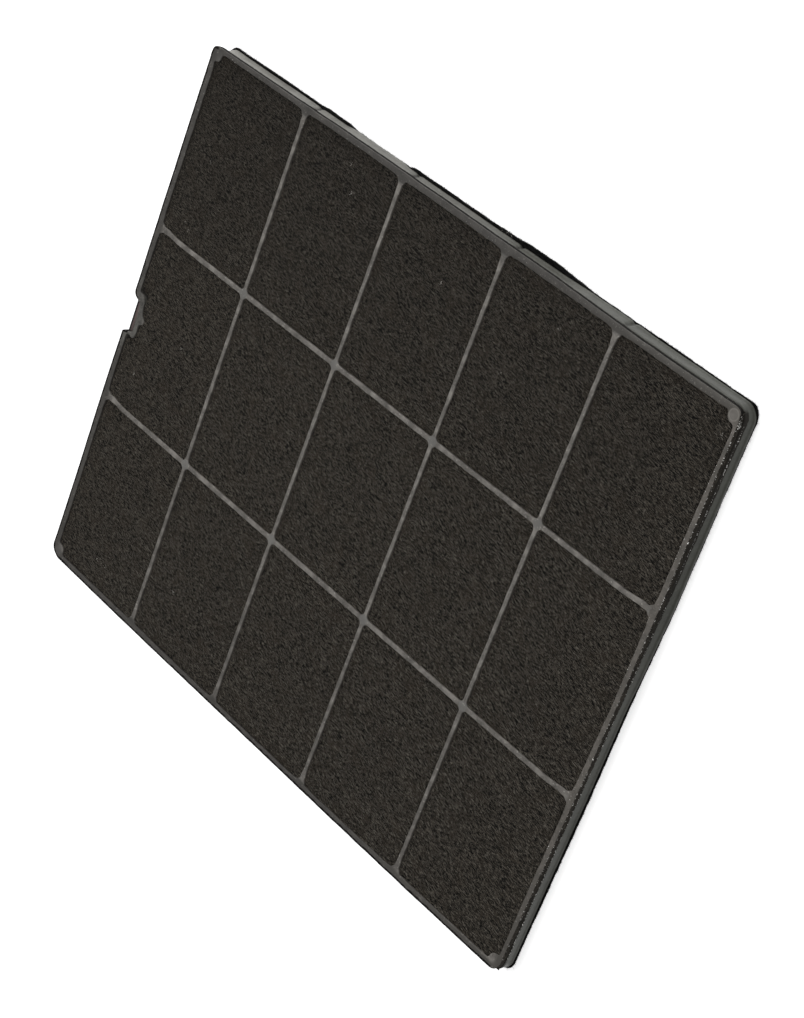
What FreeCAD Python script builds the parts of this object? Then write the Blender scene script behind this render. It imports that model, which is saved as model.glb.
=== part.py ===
import FreeCAD
import Part
import math
import os

# Cooker hood carbon filter, lying on its back: millimetres, +Z up towards the grille.
# The origin is the middle of the back face, X runs along the long side and the
# latch notch is in the middle of the short side at -X.

# Overall outline
LENGTH = 265.0
WIDTH = 212.0
GRILLE_CORNER_R = 4.6
TRAY_CORNER_R = 6.0

# Thickness of each layer, from the back to the front
FLEECE_T = 0.8
TRAY_H = 5.0
GRILLE_T = 2.2

# Grille: lip round the edge, ribs and the round pads where they meet
COLUMNS = 5
ROWS = 3
LIP_W = 2.2
RIB_W = 1.65
BOSS_R = 1.95
ROOT_R = 1.3
CORNER_PAD_R = 2.4
EDGE_BEVEL = 0.4

# Latch notch in the grille's edge
NOTCH_L = 16.2
NOTCH_D = 4.4
NOTCH_MOUTH_R = 1.8
NOTCH_INNER_R = 0.8

# Tray: rear rim, channel between rim and grille, wall and grid floor
RIM_H = 1.1
RIM_RAMP = 0.5
CHANNEL_REAR = 0.45
CHANNEL_FRONT = 0.7
WALL_T = 1.3
FLOOR_T = 1.4
LEDGE_W = 2.6
POST_R = 1.3
GUSSET_T = 1.2
GUSSET_REACH = 1.8
SHELF_LAP = 1.4

# Carbon mat: free space round it, how far it bulges into the windows, and the
# cushions' side, which is steep up to the shoulder and then rolls over to the face
MAT_GAP = 0.3
MAT_CROWN = 1.5
MAT_SAG = 1.0
MAT_ROLL = 1.4
SHOULDER_ROLL = 0.35
SHOULDER_SHARE = 0.6

# Limits of the moulding: smallest corner on a line that is moved in, shortest straight
# run between two arcs, and how far a web reaches into the wall that it joins
MIN_CORNER_R = 0.8
MIN_RUN = 0.1
WELD = 0.2

# How near two lines count as one
LINE_TOL = 1e-4

# Levels and places worked out from the sizes above
FLOOR_Z = FLEECE_T + FLOOR_T
SEAT_Z = FLEECE_T + TRAY_H
FRONT_Z = SEAT_Z + GRILLE_T
WALL_IN = CHANNEL_FRONT + WALL_T
PITCH_X = (LENGTH - 2 * LIP_W + RIB_W) / COLUMNS
PITCH_Y = (WIDTH - 2 * LIP_W + RIB_W) / ROWS
CORNER_PAD_X = LENGTH / 2 - LIP_W - CORNER_PAD_R / 2
CORNER_PAD_Y = WIDTH / 2 - LIP_W - CORNER_PAD_R / 2
NOTCH_BOSS_X = -LENGTH / 2 + NOTCH_D + LIP_W - BOSS_R / 2
RIBS_X = [(i - (COLUMNS - 2) / 2) * PITCH_X for i in range(COLUMNS - 1)]
RIBS_Y = [(j - (ROWS - 2) / 2) * PITCH_Y for j in range(ROWS - 1)]


def rounded_wire(corners, z):
    """Closed wire through corners (x, y, radius), each rounded by an arc."""
    points = [FreeCAD.Vector(x, y, z) for x, y, r in corners]
    edges = []
    starts = []
    ends = []
    for k, (x, y, r) in enumerate(corners):
        here = points[k]
        back = (points[k - 1] - here).normalize()
        ahead = (points[(k + 1) % len(points)] - here).normalize()
        half = back.getAngle(ahead) / 2
        reach = r / math.tan(half)
        middle = (back + ahead).normalize() * (r / math.sin(half) - r)
        starts.append(here + back * reach)
        ends.append(here + ahead * reach)
        edges.append(Part.Arc(starts[k], here + middle, ends[k]).toShape())
    for k in range(len(corners)):
        edges.append(Part.makeLine(ends[k - 1], starts[k]))
    return Part.Wire(Part.__sortEdges__(edges))


def outline(inset, corner_r, notched=False):
    """Corners of the filter's outline, moved in by inset, with or without the latch notch."""
    half_x = LENGTH / 2 - inset
    half_y = WIDTH / 2 - inset
    r = max(corner_r - inset, MIN_CORNER_R)
    right = [(half_x, -half_y, r), (half_x, half_y, r)]
    if not notched:
        return right + [(-half_x, half_y, r), (-half_x, -half_y, r)]
    notch_y = NOTCH_L / 2 + inset
    floor_x = -half_x + NOTCH_D
    mouth_r = max(NOTCH_MOUTH_R - inset, MIN_CORNER_R)
    inner_r = min(NOTCH_INNER_R + inset, NOTCH_D - mouth_r - MIN_RUN)
    notch = [
        (-half_x, notch_y, mouth_r),
        (floor_x, notch_y, inner_r),
        (floor_x, -notch_y, inner_r),
        (-half_x, -notch_y, mouth_r),
    ]
    return right + [(-half_x, half_y, r)] + notch + [(-half_x, -half_y, r)]


def plate(corners, z, height):
    face = Part.Face(rounded_wire(corners, z))
    return face.extrude(FreeCAD.Vector(0, 0, height))


def taper(low, low_z, high, high_z):
    return Part.makeLoft([rounded_wire(low, low_z), rounded_wire(high, high_z)], True, True)


def disc(x, y, r, z, height):
    return Part.makeCylinder(r, height, FreeCAD.Vector(x, y, z))


def block(x0, x1, y0, y1, z0, z1):
    return Part.makeBox(x1 - x0, y1 - y0, z1 - z0, FreeCAD.Vector(x0, y0, z0))


def ribs(width, z, height):
    """The grid's straight ribs, ending inside the lip."""
    end_x = LENGTH / 2 - LIP_W / 2
    end_y = WIDTH / 2 - LIP_W / 2
    upright = [block(x - width / 2, x + width / 2, -end_y, end_y, z, z + height) for x in RIBS_X]
    level = [block(-end_x, end_x, y - width / 2, y + width / 2, z, z + height) for y in RIBS_Y]
    return upright + level


def crossings():
    return [(x, y) for x in RIBS_X for y in RIBS_Y]


def rib_ends(inset):
    """Where the ribs meet the edge, with the direction that points out of the filter."""
    edge_x = LENGTH / 2 - inset
    edge_y = WIDTH / 2 - inset
    ends = [(x, side * edge_y, 0, side) for x in RIBS_X for side in (-1, 1)]
    return ends + [(side * edge_x, y, side, 0) for y in RIBS_Y for side in (-1, 1)]


def bosses(z, height):
    """Round pads on the crossings and the rib ends."""
    places = crossings() + [(x, y) for x, y, out_x, out_y in rib_ends(LIP_W)]
    return [disc(x, y, BOSS_R, z, height) for x, y in places]


def corner_pads(z, height):
    signs = [(i, j) for i in (-1, 1) for j in (-1, 1)]
    return [disc(i * CORNER_PAD_X, j * CORNER_PAD_Y, CORNER_PAD_R, z, height) for i, j in signs]


def notch_boss(z, height):
    return disc(NOTCH_BOSS_X, 0, BOSS_R, z, height)


def root_radius():
    """Fillet between pad and rib: each takes less than an eighth of the pad's round."""
    share = math.sin(math.radians(43))
    return min(ROOT_R, (share * BOSS_R - RIB_W / 2) / (1 - share))


def root_reach():
    """How far from a crossing the pad's fillets run out into the ribs."""
    r = root_radius()
    return math.sqrt((BOSS_R + r) ** 2 - (RIB_W / 2 + r) ** 2)


def edge_middle(edge):
    return edge.valueAt((edge.FirstParameter + edge.LastParameter) / 2)


def on_outline(point):
    """True in the outer half of the lip, round the notch and the corners too."""
    from_x = LENGTH / 2 - abs(point.x)
    from_y = WIDTH / 2 - abs(point.y)
    in_notch = point.x < -LENGTH / 2 + NOTCH_D + LIP_W / 2 and abs(point.y) < (NOTCH_L + LIP_W) / 2
    return min(from_x, from_y) < LIP_W / 2 or in_notch or from_x + from_y < GRILLE_CORNER_R


def is_crease(solid, edge):
    """True where the two faces beside the edge meet at an angle."""
    middle = edge_middle(edge)
    normals = []
    for face in solid.ancestorsOfType(edge, Part.Face):
        u, v = face.Surface.parameter(middle)
        normals.append(face.normalAt(u, v))
    return len(normals) == 2 and normals[0].getAngle(normals[1]) > math.radians(12)


def root_edges(solid):
    """Upright edges where a pad runs into a rib or the lip."""
    found = []
    for edge in solid.Edges:
        box = edge.BoundBox
        upright = max(box.XLength, box.YLength) < LINE_TOL and box.ZLength > GRILLE_T / 2
        if upright and not on_outline(edge_middle(edge)) and is_crease(solid, edge):
            found.append(edge)
    return found


def front_rim(solid):
    """Edges of the front face along the outer outline, the notch included."""
    front = [edge for edge in solid.Edges if edge.BoundBox.ZMin > FRONT_Z - LINE_TOL]
    return [edge for edge in front if on_outline(edge_middle(edge))]


def front_grille():
    outer = plate(outline(0, GRILLE_CORNER_R, True), SEAT_Z, GRILLE_T)
    inner = plate(outline(LIP_W, GRILLE_CORNER_R, True), SEAT_Z, GRILLE_T)
    pieces = ribs(RIB_W, SEAT_Z, GRILLE_T) + bosses(SEAT_Z, GRILLE_T)
    pieces += corner_pads(SEAT_Z, GRILLE_T) + [notch_boss(SEAT_Z, GRILLE_T)]
    grille = outer.cut(inner).fuse(pieces).common(outer).removeSplitter()
    grille = grille.makeFillet(root_radius(), root_edges(grille))
    return grille.makeChamfer(EDGE_BEVEL, front_rim(grille))


def tray_shell():
    """Rim, ramp and drafted wall round the cavity."""
    rim_z = FLEECE_T + RIM_H
    ramp_z = rim_z + RIM_RAMP
    rim_line = outline(0, TRAY_CORNER_R)
    foot_line = outline(CHANNEL_REAR, TRAY_CORNER_R)
    top_line = outline(CHANNEL_FRONT, TRAY_CORNER_R)
    shell = plate(rim_line, FLEECE_T, RIM_H)
    ramp = taper(rim_line, rim_z, foot_line, ramp_z)
    wall = taper(foot_line, ramp_z, top_line, SEAT_Z)
    shell = shell.fuse([ramp, wall])
    return shell.cut(plate(outline(WALL_IN, TRAY_CORNER_R), FLOOR_Z, SEAT_Z - FLOOR_Z))


def floor_windows():
    inset = WALL_IN + LEDGE_W
    windows = plate(outline(inset, TRAY_CORNER_R), FLEECE_T, FLOOR_T)
    pads = [disc(x, y, BOSS_R, FLEECE_T, FLOOR_T) for x, y in crossings()]
    return windows.cut(ribs(RIB_W, FLEECE_T, FLOOR_T) + pads)


def gussets(grow, z0, z1):
    """Short webs that stiffen the wall behind each rib end."""
    half = GUSSET_T / 2 + grow
    reach = GUSSET_REACH + grow
    webs = []
    for x, y, out_x, out_y in rib_ends(WALL_IN):
        root = WELD if grow == 0 else -MAT_GAP
        xs = sorted((x + out_x * root, x - out_x * reach)) if out_x else (x - half, x + half)
        ys = sorted((y + out_y * root, y - out_y * reach)) if out_y else (y - half, y + half)
        webs.append(block(xs[0], xs[1], ys[0], ys[1], z0, z1))
    return webs


def latch_shelf(grow, z0, z1):
    """Solid step of the tray that closes the latch notch from behind."""
    x0 = -LENGTH / 2 + WALL_IN - WELD
    x1 = -LENGTH / 2 + NOTCH_D + SHELF_LAP + grow
    half = NOTCH_L / 2 + SHELF_LAP + grow
    return block(x0, x1, -half, half, z0, z1)


def rear_tray():
    tray = tray_shell().cut(floor_windows())
    posts = [disc(x, y, POST_R, FLEECE_T, TRAY_H) for x, y in crossings()]
    inside = posts + gussets(0, FLEECE_T, SEAT_Z) + [latch_shelf(0, FLOOR_Z, SEAT_Z)]
    return tray.fuse(inside).removeSplitter()


def window_pad(x0, x1, y0, y1, cut, base_z, face_z):
    """Cushion-shaped swelling of the mat from base_z to face_z, with its corners cut off."""
    lines = []
    for inset, share in ((0, 0), (SHOULDER_ROLL, SHOULDER_SHARE), (MAT_ROLL, 1)):
        left, right = x0 + inset, x1 - inset
        low, high = y0 + inset, y1 - inset
        points = [
            (right - cut, low),
            (right, low + cut),
            (right, high - cut),
            (right - cut, high),
            (left + cut, high),
            (left, high - cut),
            (left, low + cut),
            (left + cut, low),
        ]
        z = base_z + share * (face_z - base_z)
        ring = [FreeCAD.Vector(x, y, z) for x, y in points]
        lines.append(Part.makePolygon(ring + ring[:1]))
    return Part.makeLoft(lines, True, True)


def window_pads(inset, base_z, face_z):
    """One cushion in each window of a grid, clear of its ribs and bosses by the mat's gap."""
    half_rib = RIB_W / 2 + MAT_GAP
    cut = root_reach() + MAT_GAP - half_rib
    lines_x = [-LENGTH / 2 + inset] + RIBS_X + [LENGTH / 2 - inset]
    lines_y = [-WIDTH / 2 + inset] + RIBS_Y + [WIDTH / 2 - inset]
    pads = []
    for i in range(COLUMNS):
        for j in range(ROWS):
            x0 = lines_x[i] + (MAT_GAP if i == 0 else half_rib)
            x1 = lines_x[i + 1] - (MAT_GAP if i == COLUMNS - 1 else half_rib)
            y0 = lines_y[j] + (MAT_GAP if j == 0 else half_rib)
            y1 = lines_y[j + 1] - (MAT_GAP if j == ROWS - 1 else half_rib)
            pads.append(window_pad(x0, x1, y0, y1, cut, base_z, face_z))
    return pads


def lip_room():
    """Room in the front cushions for the pads and the notch on the lip, fillets included."""
    z, height = SEAT_Z, MAT_CROWN
    r = BOSS_R + ROOT_R / 2 + MAT_GAP
    room = [disc(x, y, r, z, height) for x, y, out_x, out_y in rib_ends(LIP_W)]
    room.append(disc(NOTCH_BOSS_X, 0, r, z, height))
    pad_r = CORNER_PAD_R + ROOT_R / 2 + MAT_GAP
    signs = [(i, j) for i in (-1, 1) for j in (-1, 1)]
    room += [disc(i * CORNER_PAD_X, j * CORNER_PAD_Y, pad_r, z, height) for i, j in signs]
    lip_x = -LENGTH / 2 + NOTCH_D + LIP_W + MAT_GAP
    half = NOTCH_L / 2 + LIP_W + MAT_GAP
    room.append(block(-LENGTH / 2, lip_x, -half, half, z, z + height))
    return room


def carbon_mat():
    slab = plate(outline(WALL_IN + MAT_GAP, TRAY_CORNER_R), FLOOR_Z, SEAT_Z - FLOOR_Z)
    holes = [disc(x, y, POST_R + MAT_GAP, FLOOR_Z, SEAT_Z - FLOOR_Z) for x, y in crossings()]
    slots = gussets(MAT_GAP, FLOOR_Z, SEAT_Z) + [latch_shelf(MAT_GAP, FLOOR_Z, SEAT_Z)]
    slab = slab.cut(holes + slots)
    room = lip_room()
    front = [pad.cut(room) for pad in window_pads(LIP_W, SEAT_Z, SEAT_Z + MAT_CROWN)]
    back = window_pads(WALL_IN + LEDGE_W, FLOOR_Z, FLOOR_Z - MAT_SAG)
    return slab.fuse(front + back).removeSplitter()


def backing_fleece():
    return plate(outline(0, TRAY_CORNER_R), 0, FLEECE_T)


def main():
    os.makedirs("parts", exist_ok=True)
    nodes = {
        "front_grille": front_grille(),
        "rear_tray": rear_tray(),
        "carbon_mat": carbon_mat(),
        "backing_fleece": backing_fleece(),
    }
    for name, shape in nodes.items():
        shape.exportStep("parts/" + name + ".step")
        print(name, shape.isValid(), len(shape.Solids), "solids", round(shape.Volume, 1), "mm3")


main()
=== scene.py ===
import math

import bmesh
import bpy
import numpy as np
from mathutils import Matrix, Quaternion, Vector, noise


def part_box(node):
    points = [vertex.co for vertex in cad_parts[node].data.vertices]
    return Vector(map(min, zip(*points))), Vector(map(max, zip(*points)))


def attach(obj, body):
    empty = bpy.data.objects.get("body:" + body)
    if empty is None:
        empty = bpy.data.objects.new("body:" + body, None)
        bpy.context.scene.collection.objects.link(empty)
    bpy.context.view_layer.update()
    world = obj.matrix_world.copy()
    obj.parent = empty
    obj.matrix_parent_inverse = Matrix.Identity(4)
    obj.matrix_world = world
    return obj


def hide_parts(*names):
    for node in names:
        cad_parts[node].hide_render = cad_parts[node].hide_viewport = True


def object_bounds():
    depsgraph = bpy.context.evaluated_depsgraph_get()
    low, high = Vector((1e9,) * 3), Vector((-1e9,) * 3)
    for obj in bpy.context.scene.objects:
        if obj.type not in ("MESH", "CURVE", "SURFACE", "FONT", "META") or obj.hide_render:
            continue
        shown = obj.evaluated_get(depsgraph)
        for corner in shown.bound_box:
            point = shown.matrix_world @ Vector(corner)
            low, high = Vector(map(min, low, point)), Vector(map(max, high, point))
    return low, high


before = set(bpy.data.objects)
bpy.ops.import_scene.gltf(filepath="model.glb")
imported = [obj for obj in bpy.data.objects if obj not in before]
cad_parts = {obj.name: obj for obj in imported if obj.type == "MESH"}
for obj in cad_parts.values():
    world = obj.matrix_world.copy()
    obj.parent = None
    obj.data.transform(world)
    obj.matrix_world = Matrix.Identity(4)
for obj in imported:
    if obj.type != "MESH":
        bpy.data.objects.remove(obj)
cad_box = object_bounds()

# Viewpoint. The filter lies on its back and is seen from beyond its +X +Y corner, 45 degrees
# above the grille, with the camera rolled until the side with the latch notch is on the left.
EYE = Vector((0.5090, 0.3361, 0.5940))
AIM = Vector((0.0242, 0.0075, 0.0080))
ROLL = math.radians(-94.52)


def new_object(name, data):
    made = bpy.data.objects.new(name, data)
    bpy.context.scene.collection.objects.link(made)
    return made


camera = new_object("camera", bpy.data.cameras.new("camera"))
camera.data.lens = 88.0
camera.data.sensor_width = 36.0
camera.data.clip_start = 0.01
camera.data.clip_end = 20.0
camera.location = EYE
camera.rotation_mode = "QUATERNION"
camera.rotation_quaternion = (AIM - EYE).to_track_quat("-Z", "Y") @ Quaternion((0, 0, 1), ROLL)
bpy.context.scene.camera = camera
bpy.context.scene.view_settings.view_transform = "Standard"

# Floor and light. A plain white studio floor, an even sky, one large soft box overhead and a
# long low strip beyond the +Y side, which lights the filter's edge more than its face.
FLOOR_SIZE = 6.0
FLOOR_DROP = 0.0001
PAPER = (0.8, 0.8, 0.8, 1)
FLOOR_GLOW = 0.6
SKY = 0.5


def add(tree, kind, inputs=None, **settings):
    """A new node with its settings and inputs, where an input is a value or another socket."""
    made = tree.nodes.new(kind)
    for name, value in settings.items():
        setattr(made, name, value)
    for key, value in (inputs or {}).items():
        if isinstance(value, bpy.types.NodeSocket):
            tree.links.new(value, made.inputs[key])
        else:
            made.inputs[key].default_value = value
    return made


def empty_tree(owner):
    owner.use_nodes = True
    owner.node_tree.nodes.clear()
    return owner.node_tree


def new_material(name, piece):
    """The empty node tree of a new material, which becomes the piece's next one."""
    made = bpy.data.materials.new(name)
    piece.data.materials.append(made)
    return empty_tree(made)


def maths(tree, operation, first, second=0.0):
    return add(tree, "ShaderNodeMath", {0: first, 1: second}, operation=operation).outputs[0]


def ramp(tree, value, low, high, start=0.0, end=1.0):
    """start where the value is low, end where it is high, and straight between."""
    inputs = {"Value": value, "From Min": low, "From Max": high, "To Min": start, "To Max": end}
    return add(tree, "ShaderNodeMapRange", inputs).outputs[0]


def mesh_object(name, points, faces):
    """A mesh piece in the row frame, in metres."""
    mesh = bpy.data.meshes.new(name)
    mesh.from_pydata([tuple(p) for p in points], [], faces)
    return new_object(name, mesh)


half = FLOOR_SIZE / 2
square = ((-half, -half), (half, -half), (half, half), (-half, half))
floor = mesh_object("floor", [(x, y, -FLOOR_DROP) for x, y in square], [(0, 1, 2, 3)])

tree = new_material("floor_white", floor)
ray = add(tree, "ShaderNodeLightPath").outputs
seen = maths(tree, "ADD", ray["Is Camera Ray"], ray["Is Glossy Ray"])
seen = maths(tree, "MINIMUM", maths(tree, "ADD", seen, ray["Is Transmission Ray"]), 1.0)
light = add(tree, "ShaderNodeEmission", {"Strength": maths(tree, "MULTIPLY", seen, FLOOR_GLOW)})
paper = add(tree, "ShaderNodeBsdfDiffuse", {"Color": PAPER})
both = add(tree, "ShaderNodeAddShader", {0: light.outputs[0], 1: paper.outputs[0]})
add(tree, "ShaderNodeOutputMaterial", {"Surface": both.outputs[0]})

sky = bpy.data.worlds.new("sky")
bpy.context.scene.world = sky
tree = empty_tree(sky)
ray = add(tree, "ShaderNodeLightPath").outputs
level = ramp(tree, ray["Is Camera Ray"], 0.0, 1.0, SKY, 1.0)
lit = add(tree, "ShaderNodeBackground", {"Strength": level})
add(tree, "ShaderNodeOutputWorld", {"Surface": lit.outputs[0]})


def soft_box(name, place, aim, width, height, watts):
    lamp = new_object(name, bpy.data.lights.new(name, "AREA"))
    lamp.data.shape = "RECTANGLE"
    lamp.data.size = width
    lamp.data.size_y = height
    lamp.data.energy = watts
    lamp.location = place
    lamp.rotation_mode = "QUATERNION"
    lamp.rotation_quaternion = (Vector(aim) - Vector(place)).to_track_quat("-Z", "Y")


soft_box("overhead", (-0.25, 0.25, 1.3), (0, 0, 0), 1.0, 1.0, 9.0)
soft_box("edge_strip", (-0.34, 0.58, 0.10), (-0.09, 0.10, 0.0), 0.5, 0.12, 2.0)

# Front grille. One thin plate of dark matt plastic, moulded with a lip, a five by three grid,
# round pads and the latch notch. It has warped a little: the lip wanders, its edges are wavy
# and the notch is pulled towards one end.
MM = 0.001
HALF_X, HALF_Y = [round(c, 6) for c in cad_box[1][:2]]
LIP_W = 2.2 * MM
GRILLE_CORNER_R = 4.6 * MM
EDGE_STEP = 0.6 * MM
EDGE_ROUND = 0.2 * MM
RIM_FOOT = 0.45 * MM
WINDOW_FOOT = 0.02 * MM
NEAR = 0.01 * MM
# The rough break along the outline, painted dark as shade: its width on the face, its height on
# the side and how far in from the outline it is looked for.
RIM_BAND = 0.7 * MM
SIDE_SPLIT = 1.95 * MM
ROUGH_REACH = 2.1 * MM
# The latch notch: its depth, half the room that it takes from the mat, and the part of the side
# that its pull reaches.
NOTCH_DEPTH = 4.4 * MM
NOTCH_HALF = 11.2 * MM
NOTCH_ZONE = 14 * MM
# The grid: how far it has shifted, half its pitches, its bosses and its pads in the corners.
GRID_SHIFT = (-0.43 * MM, -0.6 * MM)
BOSS_PITCH_X = 26.22 * MM
BOSS_PITCH_Y = 34.88 * MM
BOSS_R = 2.1 * MM
PAD_PLACE = (129.1 * MM, 102.6 * MM)
PAD_R = 2.0 * MM
# Where the ribs meet the lip, and the swell of the plastic beside them: its height in mm and how
# far off it is.
RIB_ENDS_X = (-78.7 * MM, -26.2 * MM, 26.2 * MM, 78.7 * MM)
RIB_ENDS_Y = (-34.9 * MM, 34.9 * MM)
END_BULGE = 0.25
END_REACH = 3.4 * MM
# How far inside the lip its warp fades out, and the pull of the sharp corner at -X +Y.
LIP_FADE = 22 * MM
CORNER_PULL = 1.1 * MM
CORNER_REACH = 3.5 * MM
# The +Y side's two pads: the end in X, and how many mm the window's corner beside it is pulled.
PAD_PULLS = ((1, (0.0, 0.9)), (-1, (-1.6, 0.1)))
PAD_REACH = 3.6 * MM
# For each side of the lip: its axis and sign, then how many millimetres its outer edge and its
# inner edge stand out at even places along the side.
LIP_DRIFT = (
    (0, -1, (0.7, 0.47, 0.95, 0.65, 0.8, 0.85, 0.85), (-0.2, -0.2, 0.15, 0.2, 0.1, -0.1, -0.3)),
    (0, 1, (-0.55, -0.3, 0.1, 0.45, 0.3, -0.1, -0.75), (-0.1, -0.1, 0.15, 0.7, 0.3, 0.1, 0.3)),
    (1, -1, (0.0, 0.25, 0.1, -0.13, -0.3, -0.7, -1.45), (0.1, 0.05, 0.15, 0.15, -0.25, -0.9, -1.6)),
    (1, 1, (-0.4, 0.05, 0.45, 0.25, 0.15, -0.7, -0.8), (0.25, 0.4, 0.55, 0.15, -0.1, -0.55, -1.0)),
)

grille_low, grille_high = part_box("front_grille")
SEAT, FRONT = grille_low.z, grille_high.z


def shade(tone):
    """Linear colour of an sRGB tone written from 0 to 255."""
    shares = [c / 255 for c in tone]
    linear = [c / 12.92 if c <= 0.04045 else ((c + 0.055) / 1.055) ** 2.4 for c in shares]
    return (*linear, 1.0)


def outlines(node, z):
    """The closed edge lines of a node's flat face at height z, the material on their right."""
    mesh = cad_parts[node].data
    places = [tuple(round(c, 6) for c in v.co) for v in mesh.vertices]
    sides = set()
    for face in mesh.polygons:
        ring = [places[i] for i in face.vertices]
        if all(abs(p[2] - z) < NEAR for p in ring):
            sides.update(zip(ring, ring[1:] + ring[:1]))
    ahead = {a: b for a, b in sides if (b, a) not in sides}
    loops = []
    while ahead:
        start, here = min(ahead.items())
        ahead.pop(start)
        loop = [start]
        while here != start:
            loop.append(here)
            here = ahead.pop(here)
        loops.append(np.array(loop)[:, :2])
    return loops


def evenly(loop, step):
    """The same closed line with points at even distances."""
    closed = np.vstack([loop, loop[:1]])
    run = np.concatenate([[0], np.cumsum(np.linalg.norm(np.diff(closed, axis=0), axis=1))])
    along = np.linspace(0, run[-1], max(int(run[-1] / step), 12), endpoint=False)
    return np.column_stack([np.interp(along, run, closed[:, k]) for k in (0, 1)])


def outward(loop):
    """Unit directions out of the material, square to the line."""
    ahead = np.roll(loop, -1, axis=0) - np.roll(loop, 1, axis=0)
    ahead /= np.linalg.norm(ahead, axis=1)[:, None]
    return np.column_stack([-ahead[:, 1], ahead[:, 0]])


def waver(points, size, seed):
    """Smooth noise from about -1 to 1 at flat or solid points, with waves of that size."""
    spread = np.zeros((len(points), 3))
    spread[:, : points.shape[1]] = points
    spread = spread / size + seed * 7.3
    return np.array([noise.noise(Vector(p)) for p in spread])


def notch_pull(line):
    """How far the notch's mouth, floor and lip are pulled out of their drawn places.

    The numbers are millimetres along the side from the notch's middle, and how far it is pulled.
    """
    x, y = (line[:, 0] + HALF_X) / MM, line[:, 1] / MM
    end, floor, lip = NOTCH_ZONE / MM, NOTCH_DEPTH / MM, LIP_W / MM
    down = np.clip(x / floor, 0, 1)
    behind = np.clip((x - floor) / lip, 0, 1)
    at_mouth = np.interp(y, (-end, -9, 9, end), (0, 0.4, -2.0, 0))
    at_floor = np.interp(y, (-end, -8, -2.5, 2.5, 8, end), (0, 0.6, -0.7, -0.9, -3.4, 0))
    tucked = np.interp(y, (-end, -10.3, -9.4), (0, 1.3, 0)) * np.clip(1 - (x - floor) / 2, 0, 1)
    along = at_mouth * (1 - down) + at_floor * down + tucked
    outer = np.interp(y, (-9.6, -8.4, -3.6, 0.9, 6), (0, 0.45, 0.45, 0.35, 0)) * down
    places = (-end, -9, -4.3, -1.9, -1.5, 0.5, 1.8, 2.9, 7.4, 10, 11.2, end)
    inner = np.interp(y, places, (0, 0.4, 0.5, 0.5, 1.8, 1.7, 0.9, 0.6, 0.05, 0.55, -0.65, 0))
    across = outer * (1 - behind) + inner * behind
    in_zone = (x < end) & (np.abs(y) < end)
    return np.column_stack([across, along]) * in_zone[:, None] * MM


def warped(line):
    """The line moved with the sides of the lip, the grid, the sharp corner and the notch."""
    moved = line + notch_pull(line)
    ends = np.array((HALF_X, HALF_Y))
    for axis, sign, outer, inner in LIP_DRIFT:
        depth = ends[axis] - sign * line[:, axis]
        along = line[:, 1 - axis] / ends[1 - axis]
        places = np.linspace(-1, 1, len(outer))
        share = np.clip(depth / LIP_W, 0, 1)
        push = np.interp(along, places, outer) * (1 - share)
        push += np.interp(along, places, inner) * share
        moved[:, axis] += sign * push * MM * np.clip(1 - (depth - LIP_W) / LIP_FADE, 0, 1)
    depth = ends - np.abs(line)
    share = np.clip((depth - LIP_W) / LIP_FADE, 0, 1)
    share[:, 1] *= np.clip(depth[:, 0] / (6 * MM) - 1.2, 0, 1)
    moved += share * GRID_SHIFT
    in_window = np.clip((ends - np.abs(line)).min(axis=1) / LIP_W, 0, 1)
    for side, pull in PAD_PULLS:
        from_pad = np.linalg.norm(line - (side * PAD_PLACE[0], PAD_PLACE[1]), axis=1)
        near = in_window * np.exp(-((from_pad / PAD_REACH) ** 2))
        moved += near[:, None] * np.array(pull) * MM
    from_corner = np.linalg.norm(line - (-HALF_X, HALF_Y), axis=1)
    pull = CORNER_PULL * np.exp(-((from_corner / CORNER_REACH) ** 2))
    return moved + pull[:, None] * (-0.7, 0.7)


def inset_of(points, corner):
    """How far flat points lie inside the filter's rounded outline."""
    away = np.abs(points) - (np.array((HALF_X, HALF_Y)) - corner)
    return corner - np.linalg.norm(np.maximum(away, 0), axis=1) - np.minimum(away.max(axis=1), 0)


def from_rib_end(points):
    """Distance of flat points from the nearest place where a rib meets the lip."""
    ends = [(x, side * (HALF_Y - LIP_W)) for x in RIB_ENDS_X for side in (-1, 1)]
    ends += [(side * (HALF_X - LIP_W), y) for y in RIB_ENDS_Y for side in (-1, 1)]
    return np.min([np.linalg.norm(points - end, axis=1) for end in ends], axis=0)


def add_ring(bm, points, z):
    """New vertices at flat points, at one height or at a height for each."""
    heights = np.broadcast_to(z, len(points))
    return [bm.verts.new((x, y, h)) for (x, y), h in zip(points, heights)]


def join_rings(bm, low, high):
    """A band of quads between two rings, closed round."""
    for k in range(len(low)):
        after = (k + 1) % len(low)
        bm.faces.new((low[k], high[k], high[after], low[after]))


def fill(bm, edges, up):
    """Triangles between closed lines of edges in one plane, facing up or down."""
    filled = bmesh.ops.triangle_fill(bm, edges=edges, use_beauty=True, normal=(0, 0, up))
    for face in [f for f in filled["geom"] if isinstance(f, bmesh.types.BMFace)]:
        if face.normal.z * up < 0:
            face.normal_flip()


def ring_edges(bm, ring):
    return [bm.edges.get((ring[k - 1], ring[k])) for k in range(len(ring))]


def object_from(bm, name):
    mesh = bpy.data.meshes.new(name)
    bm.to_mesh(mesh)
    bm.free()
    return new_object(name, mesh)


def smooth(piece, degrees):
    piece.data.shade_smooth()
    piece.data.set_sharp_from_angle(angle=math.radians(degrees))


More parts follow.
